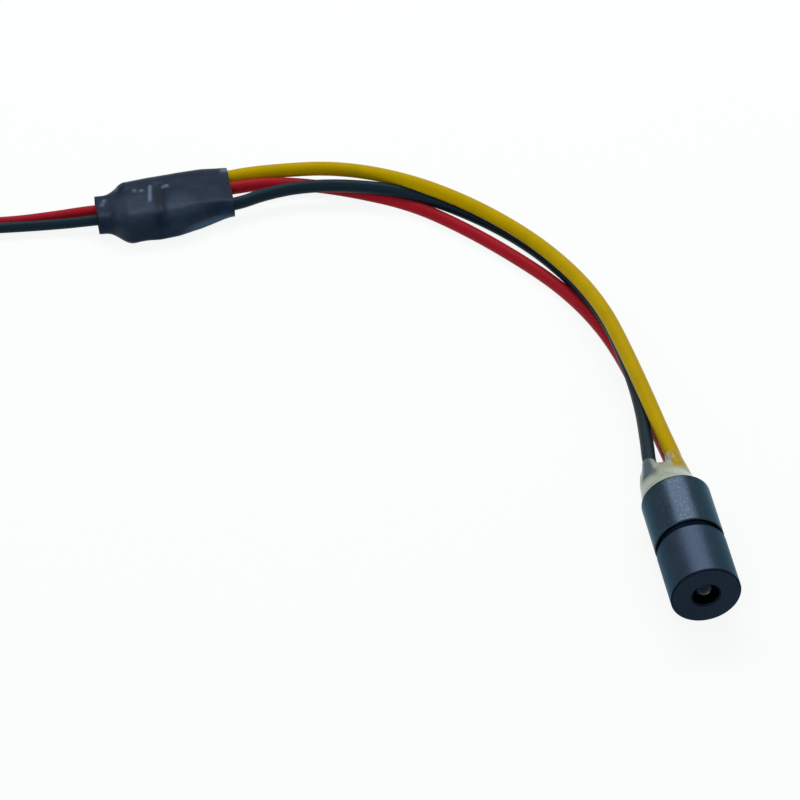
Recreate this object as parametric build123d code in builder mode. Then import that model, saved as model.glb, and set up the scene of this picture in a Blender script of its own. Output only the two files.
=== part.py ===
from build123d import *
import math
import os

os.makedirs("parts", exist_ok=True)

# Laser diode module: a two-piece barrel with a lens and a laser diode, three leads
# to a driver board in heat-shrink, and a supply pair wound up for storage.
# Millimetres. The origin is the centre of the front face, on the beam's axis.
# The beam leaves along -Y, +Z is up, and the module lies on a table under the barrel.

# Barrel
barrel_diameter = 8.0
front_barrel_length = 7.25
focus_gap = 0.9
rear_barrel_length = 7.15
rim_chamfer = 0.25
gap_chamfer = 0.1
front_wall = 1.2
aperture_diameter = 3.0
aperture_chamfer = 0.15
thread_diameter = 6.6
thread_length = 3.2
thread_clearance = 0.05
spigot_length = 3.4
spigot_chamfer = 0.2
light_bore_diameter = 4.6

# Lens and the spring behind it
lens_diameter = 6.0
lens_edge_thickness = 1.4
lens_clearance = 0.05
lens_crown_clearance = 0.1
lens_front_rise = 0.75
lens_rear_crown_diameter = 4.4
lens_rear_rise = 0.5
spring_wire = 0.4
spring_mean_diameter = 5.2
spring_turns = 2.5
spring_end_clearance = 0.01

# Laser diode in its metal can
diode_seat_depth = 1.25
stem_diameter = 5.6
stem_thickness = 1.2
stem_clearance = 0.02
cap_diameter = 3.55
cap_height = 2.3
cap_wall = 0.2
cap_flange_diameter = 4.3
cap_flange_thickness = 0.25
cap_hole_diameter = 1.6
window_diameter = 2.6
window_thickness = 0.25
pin_diameter = 0.45
pin_circle_diameter = 2.0
pin_length = 3.0
pin_inside_length = 0.7
seal_diameter = 1.0
post_width = 1.2
post_length = 1.25
post_foot_below_axis = 1.2
submount_width = 0.8
submount_thickness = 0.25
submount_length = 0.9
chip_width = 0.25
chip_thickness = 0.1
chip_length = 0.3
photodiode_side = 0.6
photodiode_thickness = 0.2
photodiode_above_axis = 0.45
retaining_ring_thickness = 0.8
retaining_ring_bore = 3.8

# Leads and the joints at both ends of them
lead_diameter = 1.45
supply_lead_diameter = 1.3
arc_share_of_run = 0.45
pin_joint_length = 1.0
pin_joint_radius = 0.42
lead_joint_radius = 0.6
board_joint_length = 1.8
board_joint_width = 0.8
board_joint_rise = 0.4
board_joint_shoulder = 0.25
tip_diameter = 0.7
tip_length = 4.0
tip_rounding = 0.2

# Potting glue behind the barrel
glue_rim_inset = 0.3
glue_end_fillet = 0.6
collar_wall = 0.25
collar_tip_wall = 0.06
collar_setback = 0.1
yellow_collar = 1.9
black_collar = 0.9

# Driver board and the parts on it, with their places along and across it from its middle
board_length = 10.0
board_width = 6.5
board_thickness = 0.6
board_turn = 8.0
board_clearance = 0.13
board_centre_x = -49.5
board_behind = 64.0
board_corner = 0.3
tallest_part_height = 2.2
tantalum_length = 3.5
tantalum_width = 2.0
ceramic_length = 2.0
ceramic_width = 1.25
ceramic_height = 0.85
resistor_length = 1.6
resistor_width = 0.8
resistor_height = 0.45
terminal_length = 0.3
terminal_rise = 0.03
ic_length = 2.9
ic_width = 1.6
ic_height = 1.1
transistor_length = 2.9
transistor_width = 1.3
transistor_height = 1.0
leg_width = 0.4
leg_pitch = 0.95
leg_reach = 0.5
leg_thickness = 0.15
package_edge = 0.12
driver_ic_place = (0.85, -1.85)
transistor_place = (-2.1, -1.9)
tantalum_place = (-1.1, 0.6)
ceramic_place = (0.9, 2.4)
resistor_places = [(-2.0, 2.3), (1.75, 1.0), (1.75, 0.0)]

# Heat-shrink sleeve
sleeve_wall = 0.35
sleeve_clearance = 0.05
sleeve_top_clearance = 0.15
sleeve_bottom_corner = 0.7
sleeve_top_corner_share = 0.4
sleeve_lift = 0.1
sleeve_left_x = -58.4
sleeve_right_x = -41.6
sleeve_side_clearance = 0.8
supply_neck_width = 5.05
lead_neck_width = 7.7

# Coil of the supply pair and its tie
coil_centre_x = -82.0
coil_mean_radius = 7.1
coil_lead_pitch = 1.35
coil_exit_angle = 220.0
tail_length = 9.0
tail_drop = 1.2
tie_thickness = 0.3
tie_width = 2.6
tie_angle = 150.0
tie_corner = 0.5

# Levels and stations that follow from the sizes above
barrel_radius = barrel_diameter / 2
table_z = -barrel_radius
gap_start = front_barrel_length
gap_end = gap_start + focus_gap
rear_face = gap_end + rear_barrel_length
spigot_front = gap_end - spigot_length
thread_start = gap_start - thread_length
lens_back = front_wall + lens_edge_thickness
stem_front = gap_end + diode_seat_depth
stem_back = stem_front + stem_thickness
ring_back = stem_back + retaining_ring_thickness
pin_end = stem_back + pin_length
seat_radius = stem_diameter / 2 + stem_clearance
board_bottom = table_z + sleeve_lift + sleeve_wall + board_clearance
board_top = board_bottom + board_thickness
sleeve_body_height = (
    2 * sleeve_wall + board_clearance + board_thickness + tallest_part_height + sleeve_top_clearance
)
supply_neck_height = supply_lead_diameter + 2 * (sleeve_wall + sleeve_clearance)
lead_neck_height = lead_diameter + 2 * (sleeve_wall + sleeve_clearance)
sleeve_body_width = board_width + 2 * (sleeve_wall + sleeve_side_clearance)
coil_base = table_z + tie_thickness

# Lead routes: x, distance behind the rear face, height above the table
yellow_points = [
    (1.1, -0.7, 4.25), (1.1, 1.7, 4.25), (1.65, 5.1, 4.4), (0.75, 10.9, 4.3), (0.4, 17.9, 4.15),
    (-0.3, 25.9, 3.9), (-1.1, 33.5, 3.85), (-3.2, 41.6, 3.12), (-7.2, 49.9, 2.38), (-13.2, 57.2, 2.7),
    (-20.2, 62.5, 3.3), (-28.2, 67.1, 2.25), (-36.4, 67.95, 2.05), (-41.2, 67.9, 1.91), (-44.9, 67.2, 1.91),
]
black_points = [
    (-1.1, -0.7, 4.2), (-1.1, 1.7, 4.2), (-1.65, 5.3, 4.3), (-0.85, 10.7, 3.55), (-0.15, 17.7, 2.7),
    (-0.3, 25.5, 2.35), (-1.4, 33.7, 2.35), (-3.2, 42.3, 1.55), (-7.2, 50.5, 0.75), (-13.0, 57.0, 0.9),
    (-20.0, 61.2, 2.15), (-27.0, 63.2, 2.35), (-32.8, 64.1, 2.25), (-37.6, 63.6, 2.1), (-41.4, 62.4, 1.91),
    (-44.9, 62.3, 1.91),
]
red_points = [
    (0.3, -0.7, 2.75), (0.3, 1.9, 2.75), (1.4, 5.9, 2.6), (1.05, 11.7, 2.1), (0.4, 18.7, 1.1),
    (-0.2, 25.9, 0.75), (-1.85, 34.3, 0.75), (-4.85, 41.9, 0.75), (-9.6, 48.9, 0.75), (-14.6, 55.0, 0.75),
    (-19.8, 60.1, 0.75), (-26.4, 63.8, 0.75), (-32.4, 66.2, 0.8), (-37.4, 66.3, 1.55), (-41.4, 65.65, 1.91),
    (-44.9, 65.4, 1.91),
]
red_supply_points = [
    (-54.4, 64.6, 1.84), (-55.3, 64.62, 1.84), (-57.3, 64.7, 1.52), (-59.6, 64.95, 1.38), (-63.0, 65.5, 1.0),
    (-69.0, 66.0, 0.78), (-75.5, 66.3, 0.98), (-82.0, 66.18, 1.0),
]
black_supply_points = [
    (-54.4, 62.8, 1.84), (-55.3, 62.82, 1.84), (-57.3, 62.86, 1.52), (-59.6, 63.1, 1.36), (-63.0, 63.7, 0.95),
    (-69.0, 64.35, 0.75), (-75.5, 64.85, 0.98), (-82.0, 64.89, 1.0),
]

# Glue sections: distance behind the rear face, left and right edge, bottom and top from the axis
glue_rows = [
    (1.7, -3.6, 2.8, -3.4, 3.0),
    (3.4, -3.35, 2.6, -2.9, 2.2),
    (4.6, -3.0, 2.5, -2.45, 1.7),
    (5.7, -2.65, 2.45, -2.3, 1.2),
]

# Sleeve sections: x, width, height, distance of the centre behind the board's, lift off the table
sleeve_rows = [
    (sleeve_left_x, supply_neck_width, supply_neck_height, -0.13, 0.4),
    (sleeve_left_x + 1.1, supply_neck_width + 0.1, supply_neck_height + 0.1, -0.18, 0.38),
    (sleeve_left_x + 2.1, supply_neck_width + 0.95, supply_neck_height + 0.4, -0.35, 0.3),
    (sleeve_left_x + 3.3, sleeve_body_width - 1.0, sleeve_body_height - 0.35, -0.7, 0.15),
    (sleeve_left_x + 4.7, sleeve_body_width - 0.2, sleeve_body_height - 0.1, -0.55, sleeve_lift),
    (sleeve_left_x + 6.4, sleeve_body_width, sleeve_body_height, -0.45, sleeve_lift),
    (sleeve_right_x - 7.0, sleeve_body_width - 0.1, sleeve_body_height, -0.15, sleeve_lift),
    (sleeve_right_x - 4.9, sleeve_body_width - 0.35, sleeve_body_height - 0.2, 0.38, sleeve_lift),
    (sleeve_right_x - 3.4, lead_neck_width + 0.5, sleeve_body_height - 0.5, 0.85, sleeve_lift),
    (sleeve_right_x - 1.4, lead_neck_width + 0.15, lead_neck_height + 0.35, 1.08, 0.5),
    (sleeve_right_x, lead_neck_width, lead_neck_height, 1.05, 0.75),
]


def write_node(piece, name):
    """Label a finished piece and write its file."""
    piece.part.label = name
    export_step(piece.part, f"parts/{name}.step")


def placed(points):
    """Turn lead points into vectors in the module's frame."""
    return [Vector(x, rear_face + behind, table_z + height) for x, behind, height in points]


def corner_radii(route):
    """Give each corner of a route the largest arc that its two runs allow."""
    radii = []
    for before, corner, after in zip(route, route[1:], route[2:]):
        run_in = corner - before
        run_out = after - corner
        half_turn = math.radians(run_in.get_angle(run_out)) / 2
        radii.append(arc_share_of_run * min(run_in.length, run_out.length) / math.tan(half_turn))
    return radii


def across_barrel(y, x=0.0, z=0.0):
    """Plane square to the beam, facing the rear, with its own y axis up."""
    return Plane(origin=(x, y, z), x_dir=(-1, 0, 0), z_dir=(0, 1, 0))


def turned(profile):
    """Turn a profile of (radius, y) points about the beam's axis."""
    with BuildPart() as piece:
        with BuildSketch(Plane.XY):
            with BuildLine():
                Polyline(*profile, close=True)
            make_face()
        revolve(axis=Axis.Y)
    return piece


def lead_tube(route, diameter, name, stop=None):
    """Sweep a round lead along straight runs and tangent arcs, up to the piece that stops it."""
    radii = corner_radii(route)
    with BuildPart() as piece:
        with BuildLine() as path:
            FilletPolyline(*route, radius=radii)
        with BuildSketch(Plane(origin=route[0], z_dir=route[1] - route[0])):
            Circle(diameter / 2)
        sweep()
        length = path.wire().length
        ideal_volume = math.pi * diameter**2 / 4 * length
        volume_ratio = piece.part.volume / ideal_volume
        if stop:
            add(stop.part, mode=Mode.SUBTRACT)
    print(f"{name}: length {length:.1f}, volume ratio {volume_ratio:.4f}")
    return piece


yellow_route = placed(yellow_points)
black_route = placed(black_points)
red_route = placed(red_points)
red_supply_route = placed(red_supply_points)
black_supply_route = placed(black_supply_points)
coil_entry = (red_supply_route[-1].Y + black_supply_route[-1].Y) / 2
coil_centre = (coil_centre_x, coil_entry - coil_mean_radius)

# Front half of the barrel, with the aperture in its front wall
aperture_radius = aperture_diameter / 2
lens_bore_radius = lens_diameter / 2 + lens_clearance
front_barrel = turned([
    (aperture_radius + aperture_chamfer, 0),
    (barrel_radius - rim_chamfer, 0),
    (barrel_radius, rim_chamfer),
    (barrel_radius, gap_start - gap_chamfer),
    (barrel_radius - gap_chamfer, gap_start),
    (thread_diameter / 2, gap_start),
    (thread_diameter / 2, thread_start),
    (lens_bore_radius, thread_start),
    (lens_bore_radius, front_wall),
    (aperture_radius, front_wall),
    (aperture_radius, aperture_chamfer),
])
write_node(front_barrel, "front_barrel")

# Rear half of the barrel: threaded spigot, light bore and diode seat
spigot_radius = thread_diameter / 2 - thread_clearance
rear_barrel = turned([
    (light_bore_diameter / 2, spigot_front),
    (spigot_radius - spigot_chamfer, spigot_front),
    (spigot_radius, spigot_front + spigot_chamfer),
    (spigot_radius, gap_end),
    (barrel_radius - gap_chamfer, gap_end),
    (barrel_radius, gap_end + gap_chamfer),
    (barrel_radius, rear_face - rim_chamfer),
    (barrel_radius - rim_chamfer, rear_face),
    (seat_radius, rear_face),
    (seat_radius, stem_front),
    (light_bore_diameter / 2, stem_front),
])
write_node(rear_barrel, "rear_barrel")

# Collimating lens: a flange with a crown towards the aperture and a flatter one behind
lens_front_crown = aperture_radius - lens_crown_clearance
lens_rear_crown = lens_rear_crown_diameter / 2
lens_front_tip = front_wall - lens_front_rise
lens_rear_tip = lens_back + lens_rear_rise
front_curve = (lens_front_crown**2 + lens_front_rise**2) / (2 * lens_front_rise)
rear_curve = (lens_rear_crown**2 + lens_rear_rise**2) / (2 * lens_rear_rise)
with BuildPart() as collimating_lens:
    with BuildSketch(Plane.XY):
        with BuildLine():
            CenterArc(
                (0, lens_front_tip + front_curve), front_curve, -90,
                math.degrees(math.asin(lens_front_crown / front_curve)),
            )
            Polyline(
                (lens_front_crown, front_wall),
                (lens_diameter / 2, front_wall),
                (lens_diameter / 2, lens_back),
                (lens_rear_crown, lens_back),
            )
            CenterArc(
                (0, lens_rear_tip - rear_curve), rear_curve, 90,
                -math.degrees(math.asin(lens_rear_crown / rear_curve)),
            )
            Line((0, lens_rear_tip), (0, lens_front_tip))
        make_face()
    revolve(axis=Axis.Y)
write_node(collimating_lens, "collimating_lens")

# Spring that holds the lens against the front wall
spring_space = spigot_front - lens_back
spring_rise = spring_space - spring_wire - 2 * spring_end_clearance
with BuildPart() as focus_spring:
    with BuildLine() as spring_path:
        Helix(
            pitch=spring_rise / spring_turns,
            height=spring_rise,
            radius=spring_mean_diameter / 2,
            center=(0, lens_back + spring_wire / 2 + spring_end_clearance, 0),
            direction=(0, 1, 0),
        )
    with BuildSketch(Plane(origin=spring_path.line @ 0, z_dir=spring_path.line % 0)):
        Circle(spring_wire / 2)
    sweep(is_frenet=True)
write_node(focus_spring, "focus_spring")

# Diode stem, with holes for the two insulated pins
pin_circle_radius = pin_circle_diameter / 2
insulated_pins = [(pin_circle_radius, 0), (-pin_circle_radius, 0)]
case_pin = (0, -pin_circle_radius)
with BuildPart() as diode_stem:
    with BuildSketch(across_barrel(stem_front)):
        Circle(stem_diameter / 2)
        with Locations(*insulated_pins):
            Circle(seal_diameter / 2, mode=Mode.SUBTRACT)
    extrude(amount=stem_thickness)
write_node(diode_stem, "diode_stem")

# Glass seals round the insulated pins
with BuildPart() as pin_glass_seals:
    with BuildSketch(across_barrel(stem_front)):
        with Locations(*insulated_pins):
            Circle(seal_diameter / 2)
            Circle(pin_diameter / 2, mode=Mode.SUBTRACT)
    extrude(amount=stem_thickness)
write_node(pin_glass_seals, "pin_glass_seals")

# Diode pins: two pass through the stem, one is welded to its back
with BuildPart() as diode_pins:
    with BuildSketch(across_barrel(stem_front - pin_inside_length)):
        with Locations(*insulated_pins):
            Circle(pin_diameter / 2)
    extrude(amount=pin_inside_length + stem_thickness + pin_length)
    with BuildSketch(across_barrel(stem_back)):
        with Locations(case_pin):
            Circle(pin_diameter / 2)
    extrude(amount=pin_length)
write_node(diode_pins, "diode_pins")

# Heat-sink post, submount and laser chip, with the emitter on the axis
submount_top = -chip_thickness / 2
post_top = submount_top - submount_thickness
post_height = post_foot_below_axis + post_top
post_front = stem_front - post_length
with BuildPart() as heat_sink_post:
    with BuildSketch(across_barrel(post_front, z=post_top - post_height / 2)):
        Rectangle(post_width, post_height)
    extrude(amount=post_length)
write_node(heat_sink_post, "heat_sink_post")

with BuildPart() as chip_submount:
    with BuildSketch(across_barrel(post_front, z=submount_top - submount_thickness / 2)):
        Rectangle(submount_width, submount_thickness)
    extrude(amount=submount_length)
write_node(chip_submount, "chip_submount")

with BuildPart() as laser_chip:
    with BuildSketch(across_barrel(post_front)):
        Rectangle(chip_width, chip_thickness)
    extrude(amount=chip_length)
write_node(laser_chip, "laser_chip")

# Monitor photodiode on the stem, behind the chip
with BuildPart() as monitor_photodiode:
    with BuildSketch(across_barrel(stem_front, z=photodiode_above_axis)):
        Rectangle(photodiode_side, photodiode_side)
    extrude(amount=-photodiode_thickness)
write_node(monitor_photodiode, "monitor_photodiode")

# Metal cap of the diode and the window sealed inside it
cap_radius = cap_diameter / 2
cap_top = stem_front - cap_height
flange_top = stem_front - cap_flange_thickness
diode_cap = turned([
    (cap_radius - cap_wall, stem_front),
    (cap_flange_diameter / 2, stem_front),
    (cap_flange_diameter / 2, flange_top),
    (cap_radius, flange_top),
    (cap_radius, cap_top),
    (cap_hole_diameter / 2, cap_top),
    (cap_hole_diameter / 2, cap_top + cap_wall),
    (cap_radius - cap_wall, cap_top + cap_wall),
])
write_node(diode_cap, "diode_cap")

with BuildPart() as diode_window:
    with BuildSketch(across_barrel(cap_top + cap_wall)):
        Circle(window_diameter / 2)
    extrude(amount=window_thickness)
write_node(diode_window, "diode_window")

# Ring pressed in behind the stem
with BuildPart() as diode_retaining_ring:
    with BuildSketch(across_barrel(stem_back)):
        Circle(seat_radius)
        Circle(retaining_ring_bore / 2, mode=Mode.SUBTRACT)
    extrude(amount=retaining_ring_thickness)
write_node(diode_retaining_ring, "diode_retaining_ring")

# Solder between each pin and its lead
joint_pairs = [
    (insulated_pins[0], black_route[0]),
    (insulated_pins[1], yellow_route[0]),
    (case_pin, red_route[0]),
]
with BuildPart() as pin_solder_joints:
    for (pin_across, pin_up), lead_start in joint_pairs:
        with BuildSketch(across_barrel(pin_end - pin_joint_length, x=-pin_across, z=pin_up)):
            Circle(pin_joint_radius)
        with BuildSketch(across_barrel(lead_start.Y, x=lead_start.X, z=lead_start.Z)):
            Circle(lead_joint_radius)
        loft()
    add(diode_pins.part, mode=Mode.SUBTRACT)
write_node(pin_solder_joints, "pin_solder_joints")

# Leads from the diode to the driver board
yellow_lead = lead_tube(yellow_route, lead_diameter, "yellow_lead")
black_lead = lead_tube(black_route, lead_diameter, "black_lead")
red_lead = lead_tube(red_route, lead_diameter, "red_lead")
write_node(yellow_lead, "yellow_lead")
write_node(black_lead, "black_lead")
write_node(red_lead, "red_lead")

# Glue: fills the rear bore, bulges behind the rim and climbs the two upper leads
with BuildPart() as glue_potting:
    with BuildSketch(across_barrel(rear_face)):
        Circle(barrel_radius - glue_rim_inset)
    for behind, left, right, bottom, top in glue_rows:
        with BuildSketch(across_barrel(rear_face + behind, (left + right) / 2, (bottom + top) / 2)):
            Ellipse((right - left) / 2, (top - bottom) / 2)
    loft()
    fillet(glue_potting.faces().sort_by(Axis.Y)[-1].edges(), glue_end_fillet)
    with BuildSketch(across_barrel(rear_face)):
        Circle(seat_radius)
    extrude(amount=ring_back - rear_face)
    for lead_route, collar_length in ((yellow_route, yellow_collar), (black_route, black_collar)):
        collar_direction = lead_route[3] - lead_route[2]
        collar_start = lead_route[2] + collar_direction.normalized() * collar_setback
        collar_plane = Plane(origin=collar_start, z_dir=collar_direction)
        with BuildSketch(collar_plane):
            Circle(lead_diameter / 2 + collar_wall)
        with BuildSketch(collar_plane.offset(collar_length)):
            Circle(lead_diameter / 2 + collar_tip_wall)
        loft()
    for buried in (diode_pins, pin_solder_joints, yellow_lead, black_lead, red_lead):
        add(buried.part, mode=Mode.SUBTRACT)
write_node(glue_potting, "glue_potting")

# Heat-shrink sleeve: a loft over the driver, hollowed by the same sections less the wall
with BuildPart() as heat_shrink_sleeve:
    for inset, mode in ((0, Mode.ADD), (sleeve_wall, Mode.SUBTRACT)):
        for x, width, height, behind, lift in sleeve_rows:
            centre = (x, rear_face + board_behind + behind, table_z + lift + height / 2)
            with BuildSketch(Plane(origin=centre, x_dir=(0, 1, 0), z_dir=(1, 0, 0))) as section:
                Rectangle(width - 2 * inset, height - 2 * inset)
                fillet(section.vertices().group_by(Axis.Y)[0], sleeve_bottom_corner - inset)
                fillet(section.vertices().group_by(Axis.Y)[-1], sleeve_top_corner_share * height - inset)
        loft(mode=mode)
write_node(heat_shrink_sleeve, "heat_shrink_sleeve")

# Driver board and its parts, on a plane turned to follow the sleeve
board_plane = Plane(
    origin=(board_centre_x, rear_face + board_behind, board_top),
    x_dir=(math.cos(math.radians(board_turn)), math.sin(math.radians(board_turn)), 0),
    z_dir=(0, 0, 1),
)
with BuildPart() as driver_board:
    with BuildSketch(board_plane):
        RectangleRounded(board_length, board_width, board_corner)
    extrude(amount=-board_thickness)
write_node(driver_board, "driver_board")


def on_board(along, across):
    """Plane on the board's top, moved along and across it."""
    place = board_plane.from_local_coords((along, across, 0))
    return Plane(origin=place, x_dir=board_plane.x_dir, z_dir=board_plane.z_dir)


def chip_components(places, length, width, height):
    """Chip bodies, each between two slightly taller terminals."""
    with BuildPart() as piece:
        for place in places:
            with BuildSketch(place):
                Rectangle(length - 2 * terminal_length, width)
            extrude(amount=height - terminal_rise)
            with BuildSketch(place):
                with GridLocations(length - terminal_length, 0, 2, 1):
                    Rectangle(terminal_length, width)
            extrude(amount=height)
    return piece


def moulded_package(place, length, width, height, legs):
    """Moulded package with flat legs along both sides."""
    with BuildPart() as piece:
        with BuildSketch(place):
            Rectangle(length, width)
        extrude(amount=height)
        chamfer(piece.faces().sort_by(Axis.Z)[-1].edges(), package_edge)
        with BuildSketch(place):
            with Locations(*legs):
                Rectangle(leg_width, leg_reach)
        extrude(amount=leg_thickness)
    return piece


ic_leg_row = ic_width / 2 + leg_reach / 2
driver_ic = moulded_package(
    on_board(*driver_ic_place), ic_length, ic_width, ic_height,
    [(-leg_pitch, ic_leg_row), (leg_pitch, ic_leg_row)]
    + [(step * leg_pitch, -ic_leg_row) for step in (-1, 0, 1)],
)
write_node(driver_ic, "driver_ic")

transistor_leg_row = transistor_width / 2 + leg_reach / 2
drive_transistor = moulded_package(
    on_board(*transistor_place), transistor_length, transistor_width, transistor_height,
    [(0, transistor_leg_row), (-leg_pitch, -transistor_leg_row), (leg_pitch, -transistor_leg_row)],
)
write_node(drive_transistor, "drive_transistor")

tantalum_capacitor = chip_components(
    [on_board(*tantalum_place)], tantalum_length, tantalum_width, tallest_part_height
)
write_node(tantalum_capacitor, "tantalum_capacitor")

ceramic_capacitor = chip_components(
    [on_board(*ceramic_place)], ceramic_length, ceramic_width, ceramic_height
)
write_node(ceramic_capacitor, "ceramic_capacitor")

chip_resistors = chip_components(
    [on_board(*place) for place in resistor_places], resistor_length, resistor_width, resistor_height
)
write_node(chip_resistors, "chip_resistors")

# Coil of the supply pair: two layers of the pair side by side, with two tails
coil_half_width = (coil_lead_pitch + supply_lead_diameter) / 2
coil_height = coil_lead_pitch + supply_lead_diameter
exit_angle = math.radians(coil_exit_angle)
exit_outwards = Vector(math.cos(exit_angle), math.sin(exit_angle), 0)
tail_direction = Vector(-math.sin(exit_angle), math.cos(exit_angle), -tail_drop / tail_length).normalized()
tail_height = coil_base + coil_height - supply_lead_diameter / 2
coil_middle = Vector(*coil_centre, tail_height)
red_tail_start = coil_middle + exit_outwards * (coil_mean_radius + coil_lead_pitch / 2)
black_tail_start = coil_middle + exit_outwards * (coil_mean_radius - coil_lead_pitch / 2)
with BuildPart() as supply_coil:
    with BuildSketch(Plane(origin=(*coil_centre, coil_base))):
        Circle(coil_mean_radius + coil_half_width)
        Circle(coil_mean_radius - coil_half_width, mode=Mode.SUBTRACT)
    extrude(amount=coil_height)
    for tail_start in (red_tail_start, black_tail_start):
        with BuildSketch(Plane(origin=tail_start, z_dir=tail_direction)):
            Circle(supply_lead_diameter / 2)
        extrude(amount=tail_length)
write_node(supply_coil, "supply_coil")

# Supply leads from the board to the coil
red_supply_lead = lead_tube(red_supply_route, supply_lead_diameter, "red_supply_lead", supply_coil)
black_supply_lead = lead_tube(black_supply_route, supply_lead_diameter, "black_supply_lead", supply_coil)
write_node(red_supply_lead, "red_supply_lead")
write_node(black_supply_lead, "black_supply_lead")


def bare_tip(tail_start):
    """Stripped and tinned end of a supply lead, past its tail."""
    with BuildPart() as piece:
        with BuildSketch(Plane(origin=tail_start + tail_direction * tail_length, z_dir=tail_direction)):
            Circle(tip_diameter / 2)
        extrude(amount=tip_length)
        fillet(piece.faces().sort_by(SortBy.DISTANCE)[-1].edges(), tip_rounding)
    return piece


red_supply_tip = bare_tip(red_tail_start)
black_supply_tip = bare_tip(black_tail_start)
write_node(red_supply_tip, "red_supply_tip")
write_node(black_supply_tip, "black_supply_tip")

# Tie: a band turned round the coil's section over a short arc
tie_half_arc = math.degrees(tie_width / 2 / coil_mean_radius)
tie_start = math.radians(tie_angle - tie_half_arc)
tie_plane = Plane(
    origin=(*coil_centre, coil_base + coil_height / 2),
    x_dir=(math.cos(tie_start), math.sin(tie_start), 0),
    z_dir=(math.sin(tie_start), -math.cos(tie_start), 0),
)
with BuildPart() as coil_tie:
    with BuildSketch(tie_plane):
        with Locations((coil_mean_radius, 0)):
            RectangleRounded(
                2 * (coil_half_width + tie_thickness), coil_height + 2 * tie_thickness, tie_corner
            )
            Rectangle(2 * coil_half_width, coil_height, mode=Mode.SUBTRACT)
    revolve(axis=Axis((*coil_centre, 0), (0, 0, 1)), revolution_arc=2 * tie_half_arc)
write_node(coil_tie, "coil_tie")

# Solder between each lead and its pad on the board
with BuildPart() as board_solder_joints:
    for lead_end, lead_before in (
        (yellow_route[-1], yellow_route[-2]),
        (black_route[-1], black_route[-2]),
        (red_route[-1], red_route[-2]),
        (red_supply_route[0], red_supply_route[1]),
        (black_supply_route[0], black_supply_route[1]),
    ):
        inwards = (lead_end - lead_before).normalized()
        sideways = Vector(0, 0, 1).cross(inwards).normalized()
        drop = lead_end.Z - board_top
        with BuildSketch(Plane(origin=lead_end, x_dir=inwards, z_dir=-sideways)):
            with BuildLine():
                Polyline(
                    (0, -drop),
                    (0, board_joint_rise),
                    (board_joint_length / 2, board_joint_shoulder),
                    (board_joint_length, -drop),
                    close=True,
                )
            make_face()
        extrude(amount=board_joint_width / 2, both=True)
write_node(board_solder_joints, "board_solder_joints")
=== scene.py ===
import math

import bmesh
import bpy
from bpy.props import FloatProperty, FloatVectorProperty, IntProperty, PointerProperty
from bpy.types import Operator, Panel, PropertyGroup
from mathutils import Matrix, Vector, noise


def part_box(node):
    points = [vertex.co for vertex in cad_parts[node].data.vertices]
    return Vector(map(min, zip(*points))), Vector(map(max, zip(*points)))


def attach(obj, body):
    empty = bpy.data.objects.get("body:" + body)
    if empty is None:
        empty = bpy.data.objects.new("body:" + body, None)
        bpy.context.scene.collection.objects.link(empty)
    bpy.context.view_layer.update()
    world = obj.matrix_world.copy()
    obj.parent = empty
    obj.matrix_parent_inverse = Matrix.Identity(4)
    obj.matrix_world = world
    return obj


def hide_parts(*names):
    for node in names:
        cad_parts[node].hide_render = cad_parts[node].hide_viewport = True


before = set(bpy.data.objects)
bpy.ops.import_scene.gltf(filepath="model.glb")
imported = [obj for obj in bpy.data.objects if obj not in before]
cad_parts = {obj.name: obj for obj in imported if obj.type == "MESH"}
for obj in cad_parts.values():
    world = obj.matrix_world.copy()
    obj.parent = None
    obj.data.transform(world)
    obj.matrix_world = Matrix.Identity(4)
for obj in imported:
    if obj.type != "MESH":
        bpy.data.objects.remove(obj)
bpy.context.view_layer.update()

bl_info = {
    "name": "Laser Diode Module",
    "version": (1, 0, 0),
    "blender": (4, 5, 0),
    "location": "View3D > Sidebar > Laser Module",
    "description": "Dresses a small laser diode module: barrel, glue, leads, driver sleeve and supply pair",
    "category": "Object",
}

MM = 0.001
BODY = "root"
FULL_TURN = 2 * math.pi

# Stations taken from the solids
BARREL_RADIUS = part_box("front_barrel")[1].x
FRONT_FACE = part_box("front_barrel")[0].y
GROOVE_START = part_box("front_barrel")[1].y
SPIGOT_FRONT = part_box("rear_barrel")[0].y
REAR_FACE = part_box("rear_barrel")[1].y
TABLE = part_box("front_barrel")[0].z

# Lead routes in millimetres: x, distance behind the rear face, height above the table
YELLOW_POINTS = [
    (1.1, -0.7, 4.25), (1.1, 1.7, 4.25), (1.4, 5.1, 4.4), (0.85, 10.9, 4.3), (0.4, 17.9, 4.15),
    (-0.3, 25.9, 4.05), (-1.2, 33.5, 3.95), (-3.28, 41.5, 3.2), (-7.2, 49.9, 2.5), (-13.3, 57.1, 2.7),
    (-20.4, 62.2, 3.3), (-28.2, 67.1, 2.25), (-36.4, 67.95, 2.05), (-41.2, 67.9, 1.91), (-44.9, 67.2, 1.91),
]
BLACK_POINTS = [
    (-1.1, -0.7, 4.2), (-1.1, 1.7, 4.2), (-1.85, 5.3, 4.3), (-1.0, 10.7, 3.55), (-0.15, 17.7, 2.7),
    (-0.1, 25.5, 2.38), (-0.85, 33.7, 2.28), (-3.3, 42.2, 1.5), (-7.2, 50.5, 0.82), (-13.0, 57.0, 0.95),
    (-20.1, 61.05, 2.15), (-27.0, 63.2, 2.35), (-32.8, 64.1, 2.25), (-37.6, 63.6, 2.1), (-41.4, 62.4, 1.91),
    (-44.9, 62.3, 1.91),
]
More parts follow.
